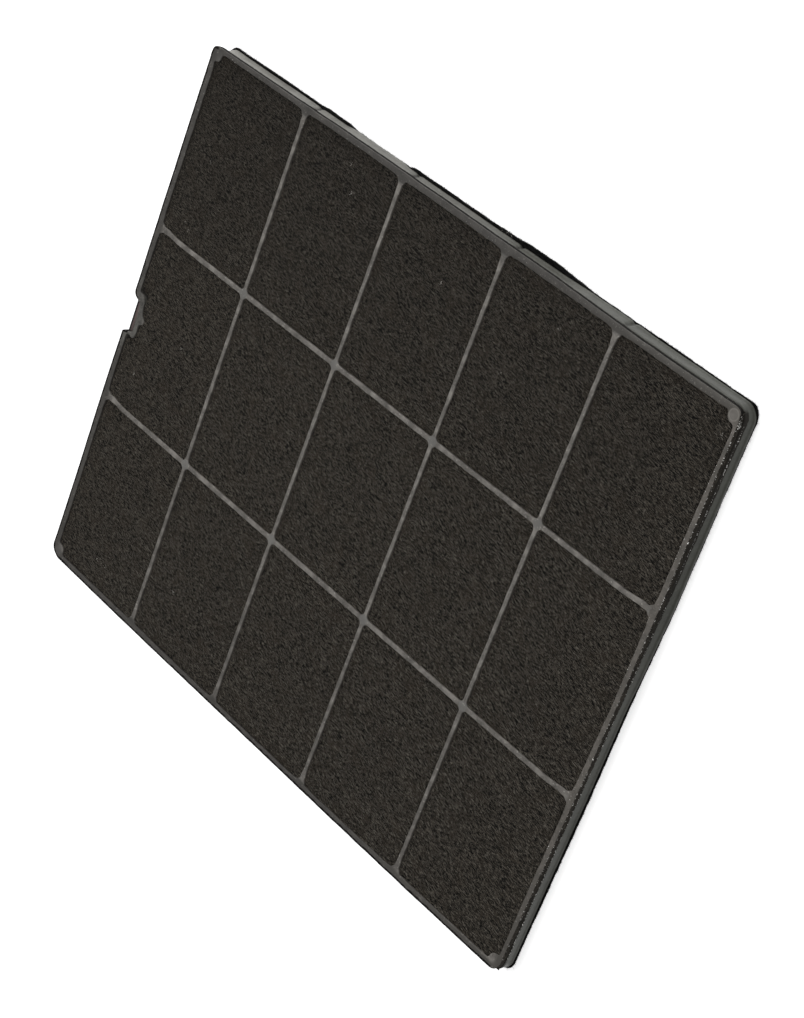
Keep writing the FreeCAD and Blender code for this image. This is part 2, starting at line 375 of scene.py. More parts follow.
bm = bmesh.new()
fronts, backs = [], []
window_lines = []
for loop in outlines("front_grille", SEAT):
    line = evenly(loop, EDGE_STEP)
    is_rim = np.ptp(line[:, 0]) > 1.8 * HALF_X
    line = warped(line)
    out = outward(line)
    if is_rim:
        bulge = 0.10 * waver(line, 8 * MM, 1) + 0.07 * waver(line, 1.3 * MM, 3)
    else:
        window_lines.append(line)
        bulge = 0.03 * np.abs(out[:, 1]) - 0.02 * np.abs(out[:, 0])
        bulge += 0.12 * waver(line, 4.5 * MM, 2) + 0.11 * waver(line, 1.3 * MM, 3)
        bulge += END_BULGE * np.exp(-(((from_rib_end(line) - END_REACH) / END_REACH * 2.2) ** 2))
    line = line + out * (bulge * MM)[:, None]
    out = outward(line)
    foot = RIM_FOOT if is_rim else WINDOW_FOOT
    rings = [add_ring(bm, line - out * foot, SEAT), add_ring(bm, line, SEAT + foot)]
    if is_rim:
        rings.append(add_ring(bm, line, SEAT + SIDE_SPLIT))
    rings.append(add_ring(bm, line, FRONT - EDGE_ROUND))
    for turn in (35, 65, 90):
        angle = math.radians(turn)
        inset = EDGE_ROUND * (1 - math.cos(angle))
        rings.append(add_ring(bm, line - out * inset, FRONT - EDGE_ROUND * (1 - math.sin(angle))))
    if is_rim:
        band = EDGE_ROUND + RIM_BAND * (1 + 0.6 * waver(line, 2 * MM, 16))
        rings.append(add_ring(bm, line - out * band[:, None], FRONT))
        rim_rings = rings
    for low, high in zip(rings, rings[1:]):
        join_rings(bm, low, high)
    fronts += ring_edges(bm, rings[-1])
    backs += ring_edges(bm, rings[0])
fill(bm, fronts, 1)
fill(bm, backs, -1)
bmesh.ops.recalc_face_normals(bm, faces=bm.faces)
bm.verts.index_update()
rim_points = {v.index for ring in rim_rings for v in ring}
grille = object_from(bm, "moulded_grille")
smooth(grille, 40)


def new_group(name, inputs, outputs):
    """A node group with inputs of given types and number outputs, and its input sockets."""
    group = bpy.data.node_groups.new(name, "ShaderNodeTree")
    for socket, kind in inputs:
        group.interface.new_socket(socket, in_out="INPUT", socket_type=kind)
    for socket in outputs:
        group.interface.new_socket(socket, in_out="OUTPUT", socket_type="NodeSocketFloat")
    return group, add(group, "NodeGroupInput").outputs


def speckle(tree, at, scale, detail, roughness=0.5):
    """Noise from 0 to 1, with that many grains per metre."""
    inputs = {"Vector": at, "Scale": scale, "Detail": detail, "Roughness": roughness}
    return add(tree, "ShaderNodeTexNoise", inputs).outputs[0]


def blend(tree, share, first, second):
    """A colour between two colours or colour sockets."""
    made = add(tree, "ShaderNodeMix", {0: share, 6: first, 7: second}, data_type="RGBA")
    return made.outputs[2]


def product(tree, first, *others):
    """Several values or sockets multiplied together."""
    for other in others:
        first = maths(tree, "MULTIPLY", first, other)
    return first


def distance(tree, first, second):
    squares = [product(tree, share, share) for share in (first, second)]
    return maths(tree, "SQRT", maths(tree, "ADD", *squares))


def place_on(tree):
    """The socket of the place on the object."""
    return add(tree, "ShaderNodeTexCoord").outputs["Object"]


def axes_of(tree):
    """The X, Y and Z sockets of the place on the object."""
    return add(tree, "ShaderNodeSeparateXYZ", {0: place_on(tree)}).outputs[:]


def moulded_grain():
    """Mottle, specks, worn patches and fine height of moulded plastic, by place on the object."""
    inputs = [("Grain per metre", "NodeSocketFloat")]
    group, given = new_group("moulded_grain", inputs, ("Mottle", "Specks", "Patches", "Height"))
    at, per_metre = place_on(group), given["Grain per metre"]
    fine = speckle(group, at, per_metre, 4.0, 0.65)
    coarse = speckle(group, at, product(group, per_metre, 0.16), 2.0)
    grit = speckle(group, at, product(group, per_metre, 0.8), 1.0)
    outputs = {
        "Mottle": ramp(group, maths(group, "ADD", fine, coarse), 0.7, 1.3),
        "Specks": ramp(group, grit, 0.66, 0.74),
        "Patches": ramp(group, coarse, 0.5, 0.7),
        "Height": fine,
    }
    add(group, "NodeGroupOutput", outputs)
    return group


MOULDED = moulded_grain()


def grain_of(tree, per_metre):
    """The outputs of the plastic's grain at that fineness."""
    return add(tree, "ShaderNodeGroup", {"Grain per metre": per_metre}, node_tree=MOULDED).outputs


def skin(tree, colour, height, roughness, specular, bump, depth):
    """The surface itself, with bumps of that strength and depth where the height varies."""
    bumps = add(tree, "ShaderNodeBump", {"Strength": bump, "Distance": depth, "Height": height})
    inputs = {
        "Base Color": colour,
        "Roughness": roughness,
        "Specular IOR Level": specular,
        "Normal": bumps.outputs[0],
    }
    surface = add(tree, "ShaderNodeBsdfPrincipled", inputs)
    add(tree, "ShaderNodeOutputMaterial", {"Surface": surface.outputs[0]})


# Tones of the grille's plastic. LIT ones are those towards +X, and HOLLOW ones the dark half of
# the mottle. INNER_LIP lies along the lip of the +Y side, and a painted shade on the lip at the
# +X -Y corner.
RIB = shade((121, 117, 111))
LOW_RIB = shade((101, 97, 92))
RIB_HOLLOW = shade((74, 71, 67))
LIP = shade((76, 73, 69))
LIT_LIP = shade((86, 83, 78))
END_LIP = shade((104, 99, 93))
INNER_LIP = shade((58, 55, 51))
SHADED_CORNER_LIP = shade((56, 54, 50))
NOTCH_LIP = shade((98, 96, 91))
LIP_HOLLOW = shade((52, 50, 47))
LIT_LIP_HOLLOW = shade((70, 67, 62))
BOSS = shade((105, 104, 101))
PAD = shade((82, 80, 77))
LIT_PAD = shade((112, 108, 103))
PAD_RIM_HIGHLIGHT = shade((150, 145, 138))
SHARP_CORNER = shade((56, 54, 51))
WEAR_AND_GLINT = shade((150, 146, 140))

tree = new_material("grille_plastic", grille)
x, y = axes_of(tree)[:2]
grain = grain_of(tree, 1500.0)
from_x_middle = maths(tree, "ABSOLUTE", x)
from_y_middle = maths(tree, "ABSOLUTE", y)
off_notch = maths(
    tree,
    "MAXIMUM",
    ramp(tree, x, -HALF_X + 8 * MM, -HALF_X + 9 * MM),
    ramp(tree, from_y_middle, NOTCH_ZONE, NOTCH_ZONE + 1 * MM),
)
on_ribs = product(
    tree,
    ramp(tree, from_x_middle, HALF_X - 3.6 * MM, HALF_X - 2.4 * MM, 1.0, 0.0),
    ramp(tree, from_y_middle, HALF_Y - 4.2 * MM, HALF_Y - 3.0 * MM, 1.0, 0.0),
    off_notch,
)
towards_x = ramp(tree, x, 40 * MM, 125 * MM)
lip = blend(tree, towards_x, LIP, LIT_LIP)
lip = blend(tree, ramp(tree, x, 127 * MM, 129 * MM), lip, END_LIP)
inner_half = product(
    tree,
    ramp(tree, y, HALF_Y - 1.3 * MM, HALF_Y - 1.9 * MM),
    ramp(tree, y, HALF_Y - 5 * MM, HALF_Y - 4 * MM),
    ramp(tree, x, 0.0, 70 * MM, 0.1, 0.45),
)
lip = blend(tree, inner_half, lip, INNER_LIP)
x_less_y = maths(tree, "SUBTRACT", x, y)
# Painted shade on the lip towards the +X -Y corner.
lip = blend(tree, ramp(tree, x_less_y, 180 * MM, 235 * MM, 0.0, 0.75), lip, SHADED_CORNER_LIP)
lip = blend(tree, off_notch, NOTCH_LIP, lip)
lip_hollow = blend(tree, towards_x, LIP_HOLLOW, LIT_LIP_HOLLOW)
rib = blend(tree, ramp(tree, y, -40 * MM, -52 * MM, 0.0, 0.7), RIB, LOW_RIB)
raised = blend(tree, on_ribs, lip, rib)
hollow = blend(tree, on_ribs, lip_hollow, RIB_HOLLOW)
colour = blend(tree, grain["Mottle"], hollow, raised)
colour = blend(tree, product(tree, grain["Patches"], on_ribs, 0.3), colour, WEAR_AND_GLINT)
row = maths(tree, "PINGPONG", maths(tree, "SUBTRACT", x, GRID_SHIFT[0]), BOSS_PITCH_X)
column = maths(tree, "PINGPONG", maths(tree, "SUBTRACT", y, GRID_SHIFT[1]), BOSS_PITCH_Y)
from_row = maths(tree, "SUBTRACT", BOSS_PITCH_X, row)
from_column = maths(tree, "SUBTRACT", BOSS_PITCH_Y, column)
from_boss = distance(tree, from_row, from_column)
on_boss = ramp(tree, from_boss, BOSS_R - 0.5 * MM, BOSS_R, 0.7, 0.0)
colour = blend(tree, product(tree, on_boss, on_ribs), colour, BOSS)
beside_pad = maths(tree, "SUBTRACT", from_x_middle, PAD_PLACE[0])
above_pad = maths(tree, "SUBTRACT", from_y_middle, PAD_PLACE[1])
from_pad = distance(tree, beside_pad, above_pad)
on_pad = product(
    tree,
    ramp(tree, from_pad, PAD_R, PAD_R - 0.2 * MM, 0.0, 0.6),
    ramp(tree, x_less_y, 200 * MM, 180 * MM, 0.1, 1.0),
)
pad = blend(tree, ramp(tree, x, -100 * MM, 100 * MM), PAD, LIT_PAD)
colour = blend(tree, on_pad, colour, pad)
# Painted highlight on the rim of the pad at the +X +Y corner, as if its raised edge caught the light.
at_pad_rim = maths(tree, "ABSOLUTE", maths(tree, "SUBTRACT", from_pad, PAD_R - 0.15 * MM))
on_pad_rim_highlight = product(
    tree,
    ramp(tree, at_pad_rim, 0.12 * MM, 0.35 * MM, 0.25, 0.0),
    ramp(tree, maths(tree, "ADD", x, y), 160 * MM, 220 * MM),
)
colour = blend(tree, on_pad_rim_highlight, colour, PAD_RIM_HIGHLIGHT)
y_less_x = maths(tree, "SUBTRACT", y, x)
sharp = ramp(tree, y_less_x, HALF_X + HALF_Y - 9 * MM, HALF_X + HALF_Y - 5 * MM, 0.0, 0.6)
colour = blend(tree, sharp, colour, SHARP_CORNER)
# The pale specks are painted glints, most of them on the ribs.
specks = product(tree, grain["Specks"], ramp(tree, on_ribs, 0.0, 1.0, 0.3, 0.8))
colour = blend(tree, specks, colour, WEAR_AND_GLINT)
skin(tree, colour, grain["Height"], roughness=0.55, specular=0.35, bump=0.45, depth=0.2 * MM)

# Its second material is the rough, dark break along the outline. Its dark tones are painted shade
# over the lip's rounded edge on the -X and -Y sides and low on the side faces.
SHADED_ROUGH_HOLLOW = shade((9, 9, 8))
SHADED_ROUGH = shade((30, 28, 25))
LIT_ROUGH_HOLLOW = shade((28, 26, 23))
LIT_ROUGH = shade((62, 58, 52))
ROUGH_GLINT_SPECK = shade((96, 92, 86))
tree = new_material("rough_shaded_edge", grille)
x, y = axes_of(tree)[:2]
grain = grain_of(tree, 2200.0)
on_x_side = product(
    tree,
    ramp(tree, x, HALF_X - 4 * MM, HALF_X - 3 * MM),
    ramp(tree, y, HALF_Y - 2 * MM, HALF_Y - 4 * MM),
)
hollow = blend(tree, on_x_side, SHADED_ROUGH_HOLLOW, LIT_ROUGH_HOLLOW)
raised = blend(tree, on_x_side, SHADED_ROUGH, LIT_ROUGH)
colour = blend(tree, grain["Mottle"], hollow, raised)
# Its pale specks are painted glints.
colour = blend(tree, grain["Specks"], colour, ROUGH_GLINT_SPECK)
skin(tree, colour, grain["Height"], roughness=0.9, specular=0.1, bump=0.9, depth=0.3 * MM)
for face in grille.data.polygons:
    at_side = inset_of(np.array([face.center[:2]]), GRILLE_CORNER_R)[0] < ROUGH_REACH
    if at_side and len(face.vertices) == 4 and rim_points.issuperset(face.vertices):
        # The faces by the -X and -Y outline take the dark tones as painted shade.
        in_painted_shade = min(face.center.x + HALF_X, face.center.y + HALF_Y) < ROUGH_REACH
        is_low = face.center.z < SEAT + SIDE_SPLIT or face.center.y < HALF_Y - 2.5 * MM
        face.material_index = int(in_painted_shade or (abs(face.normal.z) < 0.8 and is_low))
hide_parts("front_grille")
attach(grille, "root")

# Moulding flash. Thin crumbs of the same plastic, squeezed out where the mould halves meet and
# painted near white, a painted highlight for their glints. They are thickest round the +X +Y corner.
FLASH_SEED = 11
# Height of the ragged joint along the +X side, as pairs of Y and height in mm.
JOINT = ((-106, 5.6), (-92, 5.6), (-42, 5.35), (-7, 5.1), (35, 4.5), (92, 4.9), (106, 5.0))
# How far in the joint's and the lip's crumbs lie, and how high those on the face do, in mm.
JOINT_INSET = 0.42
LIP_CRUMB_INSET = 1.95
FACE_CRUMB_Z = 7.95
# Crumbs of the +X side: where they sit, how many per mm at the -Y end and at the +Y end, the
# largest half length in mm and the seed of their wander.
FLASH_LINES = (
    ("joint", 1.6, 3.6, 0.32, 9),
    ("edge", 0.6, 2.4, 0.28, 8),
    ("lip", 0.2, 1.6, 0.22, 7),
)
# The bare ends of that side.
BARE_AT_MINUS_Y = 4 * MM
BARE_AT_PLUS_Y = 6 * MM
# Round the +X +Y corner: how many, from and to which angle in degrees, and the half length in mm.
CORNER_CRUMBS = ((90, -12, 88, 0.26), (14, 22, 68, 0.36))
CORNER_MIDDLE = (HALF_X - 5.2 * MM, HALF_Y - 5.7 * MM)
CORNER_R = 4.7 * MM
# Strays along the +Y lip: how many, and the largest half length.
STRAY_CRUMBS = 90
STRAY_SIZE = 0.12 * MM


def crumbs(name, places, halves, seed):
    """Small faceted lumps of random shape and turn, one at each place."""
    draw = np.random.default_rng(seed)
    bm = bmesh.new()
    bmesh.ops.create_icosphere(bm, subdivisions=1, radius=1.0)
    lump = np.array([v.co for v in bm.verts])
    sides = np.array([[v.index for v in f.verts] for f in bm.faces])
    bm.free()
    points, faces = [], []
    for k, (place, size) in enumerate(zip(places, halves)):
        turn = Quaternion(draw.normal(size=4)).normalized().to_matrix()
        shape = lump * draw.uniform(0.65, 1.3, (len(lump), 1))
        shape *= draw.uniform((0.7, 0.3, 0.3), (1.3, 0.7, 0.6))
        points.append(shape @ np.array(turn) * size + place)
        faces.append(sides + k * len(lump))
    return mesh_object(name, np.vstack(points), np.vstack(faces).tolist())


draw = np.random.default_rng(FLASH_SEED)
places, halves = [], []
joint_y, joint_z = zip(*JOINT)
for line_name, few, many, largest, seed in FLASH_LINES:
    count = int((few + many) / 2 * 2 * HALF_Y / MM)
    share = (np.sqrt(few**2 + (many**2 - few**2) * draw.random(count)) - few) / (many - few)
    y = -HALF_Y + BARE_AT_MINUS_Y + share * (2 * HALF_Y - BARE_AT_MINUS_Y - BARE_AT_PLUS_Y)
    y += 1.2 * MM * waver(y[:, None], 3 * MM, seed)
    side = LIP_DRIFT[1][3 if line_name == "lip" else 2]
    drift = np.interp(y / HALF_Y, np.linspace(-1, 1, len(side)), side)
    z = np.full(count, FACE_CRUMB_Z)
    if line_name == "joint":
        z = np.interp(y / MM, joint_y, joint_z)
        drift = np.full(count, -JOINT_INSET)
    if line_name == "lip":
        drift -= LIP_CRUMB_INSET
    x = HALF_X + (drift + draw.normal(0, 0.07, count)) * MM
    places.append(np.column_stack([x, y, (z + draw.normal(0, 0.09, count)) * MM]))
    halves.append(draw.uniform(0.35, 1.0, count) ** 2 * largest * MM)
for count, low, high, size in CORNER_CRUMBS:
    turn = draw.uniform(math.radians(low), math.radians(high), count)
    reach = CORNER_R + draw.normal(0, 0.08 * MM, count)
    spot = CORNER_MIDDLE + np.column_stack([np.cos(turn), np.sin(turn)]) * reach[:, None]
    places.append(np.column_stack([spot, draw.uniform(SEAT + 0.5 * MM, FRONT - 0.1 * MM, count)]))
    halves.append(draw.uniform(0.4, 1.0, count) * size * MM)
along = draw.uniform(-HALF_X * 0.97, HALF_X * 0.97, STRAY_CRUMBS)
off = HALF_Y - draw.uniform(1.2, 1.9, STRAY_CRUMBS) * MM
places.append(np.column_stack([along, off, np.full(STRAY_CRUMBS, FRONT)]))
halves.append(draw.uniform(0.3, 1.0, STRAY_CRUMBS) * STRAY_SIZE)
flash = crumbs("moulding_flash", np.vstack(places), np.concatenate(halves), FLASH_SEED)

# The crumbs' near-white tones are painted highlights for their glints.
GLINT_WHITE = shade((255, 253, 248))
GLINT_WHITE_HOLLOW = shade((120, 117, 110))
tree = new_material("painted_glint_plastic", flash)
grain = grain_of(tree, 2500.0)
colour = blend(tree, grain["Mottle"], GLINT_WHITE_HOLLOW, GLINT_WHITE)
skin(tree, colour, grain["Height"], roughness=0.15, specular=1.0, bump=0.3, depth=0.1 * MM)
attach(flash, "root")

# Rear tray. A shallow moulded tray of the same plastic with a smoother skin. Its inside is the
# drawn one; the outer wall has rounded edges and a slanted sink mark behind each rib's end.
TRAY_CORNER_R = 5.2 * MM
TRAY_STEP = 0.4 * MM
TRAY_FOOT = 0.8 * MM
# The drawn tray: its corner, the part at the outline that the new wall replaces, how far in its
# seat reaches, and how near two of its points count as one.
DRAWN_CORNER_R = 6.0 * MM
TRAY_EDGE = 0.9 * MM
SEAT_REACH = 10 * MM
SAME_PLACE = 1e-6
# The sink marks of the long sides, in mm: their places at SINK_LEVEL, how far they slant with the
# height, their depth, half width and the strength of the shade painted in them, and from where to
# where they go.
SINK_PLACES = (-79.0, -26.2, 26.2, 78.4)
SINK_SHADES = (0.9, 0.8, 0.6, 0.45)
SINK_LEVEL = 4.0
SINK_SLANT = -0.08
SINK_DEPTH = 0.6
SINK_HALF = 0.9
SINK_SPAN = (0.9, 5.0)
# How far the wall's foot bows out along the +Y side, as pairs of X and millimetres, and evenly
# along the +X side from its -Y end.
BOW_ON_LONG_SIDE = (
    (-132, 0.0), (-65, 0.0), (-61, 0.45), (-35, 0.45), (-31, 0.05), (45, 0.0), (60, 0.3),
    (80, 0.35), (87, 0.1),
)
BOW_ON_SHORT_SIDE = (-0.7, -0.4, 0.0, -0.05, 1.0, 0.65, 0.3)
# The heights between which that bow fades out, and how far the wall's top bows out behind the
# notch, both in mm.
BOW_SPAN = (1.65, 5.0)
NOTCH_BOW = 0.6
# Profile of the outer wall from the foot to the seat: how far in it lies and its height, in mm.
WALL_PROFILE = (
    (0.32, 0.80), (0.10, 0.92), (0.02, 1.20), (0.02, 1.65), (0.12, 1.95), (0.30, 2.20),
    (0.36, 2.60), (0.38, 3.20), (0.40, 3.80), (0.42, 4.40), (0.44, 4.95), (0.48, 5.35),
    (0.62, 5.62), (0.90, 5.80),
)


def rounded_line(corner, step):
    """The filter's outline with that corner radius, clockwise, with evenly spread points."""
    points = []
    for turn, side_x, side_y in ((90, 1, 1), (0, 1, -1), (-90, -1, -1), (-180, -1, 1)):
        middle = np.array((side_x * (HALF_X - corner), side_y * (HALF_Y - corner)))
        for angle in np.radians(turn - np.linspace(0, 90, 13)):
            points.append(middle + corner * np.array((math.cos(angle), math.sin(angle))))
    return evenly(np.array(points), step)


def on_two_sides(line, out, long_pairs, short_steps):
    """A value given along the +Y side and the +X side, blended round the corner between them."""
    places, values = zip(*long_pairs)
    on_y = np.clip(out[:, 1], 0, 1) ** 2 * np.interp(line[:, 0] / MM, places, values)
    steps = np.linspace(-1, 1, len(short_steps))
    return on_y + np.clip(out[:, 0], 0, 1) ** 2 * np.interp(line[:, 1] / HALF_Y, steps, short_steps)


bm = bmesh.new()
bm.from_mesh(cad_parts["rear_tray"].data)
bmesh.ops.remove_doubles(bm, verts=bm.verts, dist=SAME_PLACE)
middles = np.array([f.calc_center_median() for f in bm.faces])
insets = inset_of(middles[:, :2], DRAWN_CORNER_R)
spare = []
for face, middle, inset in zip(bm.faces, middles, insets):
    is_wall = abs(face.normal.z) < 0.99 and inset < TRAY_EDGE
    is_foot = face.normal.z < -0.99 and abs(middle[2] - TRAY_FOOT) < NEAR
    is_seat = face.normal.z > 0.99 and abs(middle[2] - SEAT) < NEAR and inset < SEAT_REACH
    if is_wall or is_foot or is_seat:
        spare.append(face)
bmesh.ops.delete(bm, geom=spare, context="FACES")
open_edges = [e for e in bm.edges if e.is_boundary]
open_foot = [e for e in open_edges if all(v.co.z < TRAY_FOOT + NEAR for v in e.verts)]
open_seat = [e for e in open_edges if all(v.co.z > SEAT - NEAR for v in e.verts)]
line = rounded_line(TRAY_CORNER_R, TRAY_STEP)
out = outward(line)
line += out * (0.08 * MM * waver(line, 14 * MM, 9))[:, None]
on_long_side = np.abs(out[:, 1]) > 0.9
bow = on_two_sides(line, out, BOW_ON_LONG_SIDE, BOW_ON_SHORT_SIDE)
rings = []
for inset, height in WALL_PROFILE:
    depth = inset - bow * np.interp(height, BOW_SPAN, (1, 0))
    sink_depth = SINK_DEPTH if SINK_SPAN[0] < height < SINK_SPAN[1] else 0.0
    for sink in SINK_PLACES:
        for side in (-1, 1):
            centre = sink + SINK_SLANT * (height - SINK_LEVEL) * side
            near = np.exp(-(((line[:, 0] / MM - centre) / SINK_HALF) ** 2))
            depth += sink_depth * near * on_long_side * (out[:, 1] * side > 0)
    if height > BOW_SPAN[1]:
        depth -= NOTCH_BOW * (out[:, 0] < -0.9) * (np.abs(line[:, 1]) < NOTCH_HALF)
    depth += 0.03 * waver(line + height, 2.5 * MM, 10)
    rings.append(add_ring(bm, line - out * (depth * MM)[:, None], height * MM))
for low, high in zip(rings, rings[1:]):
    join_rings(bm, low, high)
fill(bm, open_foot + ring_edges(bm, rings[0]), -1)
fill(bm, open_seat + ring_edges(bm, rings[-1]), 1)
bmesh.ops.recalc_face_normals(bm, faces=bm.faces)
tray = object_from(bm, "moulded_tray")
smooth(tray, 35)

# Tones of the tray, from the end with the notch to the other: the skin and its mottle's hollows,
# whose paler end is painted light; the painted shade of the low part of the wall; the dark ragged
# plastic over the joint, partly painted shade; the painted shade in the sink marks; and the shelf
# behind the notch.
PAINTED_LIT_WALL = shade((134, 132, 126))
WALL = shade((80, 81, 74))
PAINTED_LIT_WALL_HOLLOW = shade((108, 106, 101))
WALL_HOLLOW = shade((60, 61, 55))
LOW_WALL_SHADE = shade((40, 40, 38))
RAGGED_AND_SHADE = shade((40, 37, 33))
CLOUD = shade((50, 49, 45))
SINK_GROOVE_SHADE = shade((42, 40, 38))
SHELF = shade((94, 82, 80))
SHELF_BACK = shade((6, 4, 4))

tree = new_material("tray_plastic", tray)
x, y, z = axes_of(tree)
grain = grain_of(tree, 900.0)
# Painted light: the wall is painted paler towards the end with the notch.
painted_light_share = ramp(tree, x, -110 * MM, 90 * MM, 1.0, 0.0)
# Painted shade: where the wall is painted paler, it darkens towards its foot.
low_wall_shade = ramp(tree, z, 1 * MM, 4.8 * MM, 0.22, 0.0)
raised = blend(tree, painted_light_share, WALL, PAINTED_LIT_WALL)
hollow = blend(tree, painted_light_share, WALL_HOLLOW, PAINTED_LIT_WALL_HOLLOW)
colour = blend(tree, grain["Mottle"], hollow, raised)
colour = blend(tree, product(tree, low_wall_shade, painted_light_share), colour, LOW_WALL_SHADE)
ragged = product(tree, grain["Mottle"], 0.7 * MM)
joint = maths(tree, "SUBTRACT", ramp(tree, y, -80 * MM, 35 * MM, 5.35 * MM, 4.15 * MM), ragged)
joint = maths(tree, "ADD", joint, ramp(tree, y, 35 * MM, 95 * MM, 0.35 * MM, 0.1 * MM))
above_joint = product(
    tree,
    ramp(tree, maths(tree, "SUBTRACT", z, joint), 0.0, 0.15 * MM),
    ramp(tree, x, HALF_X - 2.5 * MM, HALF_X - 1.5 * MM),
)
# The dark band over the joint on the +X side is ragged plastic and, in part, painted shade under the
# grille's edge.
colour = blend(tree, above_joint, colour, RAGGED_AND_SHADE)
on_x_side = ramp(tree, x, HALF_X - 3 * MM, HALF_X - 2 * MM, 0.0, 0.5)
colour = blend(tree, product(tree, grain["Patches"], on_x_side), colour, CLOUD)
# Painted shade in the groove of each sink mark.
for sink, strength in zip(SINK_PLACES, SINK_SHADES):
    slanted = maths(tree, "SUBTRACT", x, product(tree, z, SINK_SLANT))
    off_sink = maths(tree, "SUBTRACT", slanted, (sink - SINK_LEVEL * SINK_SLANT) * MM)
    in_sink_shade = product(
        tree,
        ramp(tree, maths(tree, "ABSOLUTE", off_sink), 0.3 * MM, 1.0 * MM, strength, 0.0),
        ramp(tree, z, 0.9 * MM, 1.3 * MM),
        ramp(tree, y, HALF_Y - 2 * MM, HALF_Y - 1.5 * MM),
    )
    colour = blend(tree, in_sink_shade, colour, SINK_GROOVE_SHADE)
on_shelf = product(
    tree,
    ramp(tree, x, -124 * MM, -127 * MM),
    ramp(tree, z, 5.2 * MM, 5.5 * MM),
    ramp(tree, maths(tree, "ABSOLUTE", y), 11 * MM, 13 * MM, 1.0, 0.0),
)
shelf = blend(tree, ramp(tree, x, -131.8 * MM, -131.0 * MM), SHELF_BACK, SHELF)
colour = blend(tree, on_shelf, colour, shelf)
dry = ramp(tree, maths(tree, "MAXIMUM", above_joint, on_shelf), 0.0, 1.0, 0.42, 0.9)
skin(tree, colour, grain["Height"], roughness=dry, specular=0.3, bump=0.14, depth=0.2 * MM)
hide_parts("rear_tray")
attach(tray, "root")

# Carbon mat. Needled fleece full of activated carbon, cut to the tray and pressed by the grille
# so that it swells up to the face of each window. Its fibres run mostly along X.
MAT_STEP = 0.84 * MM
MAT_FOOT = 2.2 * MM
MAT_TUCK = 0.8 * MM
# Its face: the height of the pressed part over the seat, how high it rises in a window, over what
# width and how much of that under the rib, and the crown in the middle.
MAT_PRESSED = 0.04 * MM
MAT_RISE = 1.62 * MM
RISE_WIDTH = 0.4 * MM
RISE_LEAD = 1.6
MAT_CROWN = 0.22 * MM
CROWN_REACH = 9 * MM
FIBRE_TURN = math.radians(-13)
cut_low, cut_high = [np.array(corner)[:2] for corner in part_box("carbon_mat")]


def grid(low, high, step):
    """Flat points in rows, the quads between them and the numbers of the border's points."""
    xs = np.linspace(low[0], high[0], int((high[0] - low[0]) / step) + 1)
    ys = np.linspace(low[1], high[1], int((high[1] - low[1]) / step) + 1)
    across, along = np.meshgrid(xs, ys, indexing="ij")
    faces = []
    rows = len(ys)
    for i in range(len(xs) - 1):
        for j in range(rows - 1):
            k = i * rows + j
            faces.append((k, k + rows, k + rows + 1, k + 1))
    border = [i * rows for i in range(len(xs))]
    border += [(len(xs) - 1) * rows + j for j in range(1, rows)]
    border += [i * rows + rows - 1 for i in range(len(xs) - 2, -1, -1)]
    border += list(range(rows - 2, 0, -1))
    return np.column_stack([across.ravel(), along.ravel()]), faces, border


def mat_height(plan):
    """Height of the mat's face at flat points, pressed down under the grille's ribs."""
    near = np.full(len(plan), -1.0)
    for line in window_lines:
        low, high = line.min(axis=0), line.max(axis=0)
        near = np.maximum(near, np.minimum(plan - low, high - plan).min(axis=1))
    beside_notch = np.abs(plan[:, 1]) - NOTCH_HALF
    behind_notch = plan[:, 0] + HALF_X - NOTCH_DEPTH - LIP_W
    near = np.minimum(near, np.maximum(beside_notch, behind_notch))
    risen = np.clip(near / RISE_WIDTH + RISE_LEAD, 0, 1)
    crown = MAT_CROWN * (1 - np.exp(-np.maximum(near, 0) / CROWN_REACH))
    rough = 0.07 * waver(plan, 7 * MM, 6) + 0.03 * waver(plan * (0.5, 1.0), 1.7 * MM, 5)
    rough += 0.04 * waver(plan, 1.0 * MM, 8)
    return SEAT + MAT_PRESSED + risen * (MAT_RISE + crown + rough * MM)


plan, mat_faces, border = grid(cut_low - MAT_TUCK, cut_high + MAT_TUCK, MAT_STEP)
untucked = (plan[:, 0] < cut_low[0]) & (np.abs(plan[:, 1]) < NOTCH_ZONE)
plan[untucked, 0] = cut_low[0]
mat = mesh_object("carbon_fleece_mat", np.column_stack([plan, mat_height(plan)]), mat_faces)

bm = bmesh.new()
bm.from_mesh(mat.data)
bm.verts.ensure_lookup_table()
rim = [bm.verts[i] for i in border]
under = add_ring(bm, plan[border], SEAT + NEAR)
cut = np.clip(plan[border], cut_low, cut_high)
shoulder = add_ring(bm, cut, SEAT + NEAR)
foot = add_ring(bm, cut, MAT_FOOT)
for below, above in ((foot, shoulder), (shoulder, under), (under, rim)):
    join_rings(bm, below, above)
bm.faces.new(list(reversed(foot)))
bmesh.ops.recalc_face_normals(bm, faces=bm.faces)
bm.to_mesh(mat.data)
bm.free()
smooth(mat, 60)


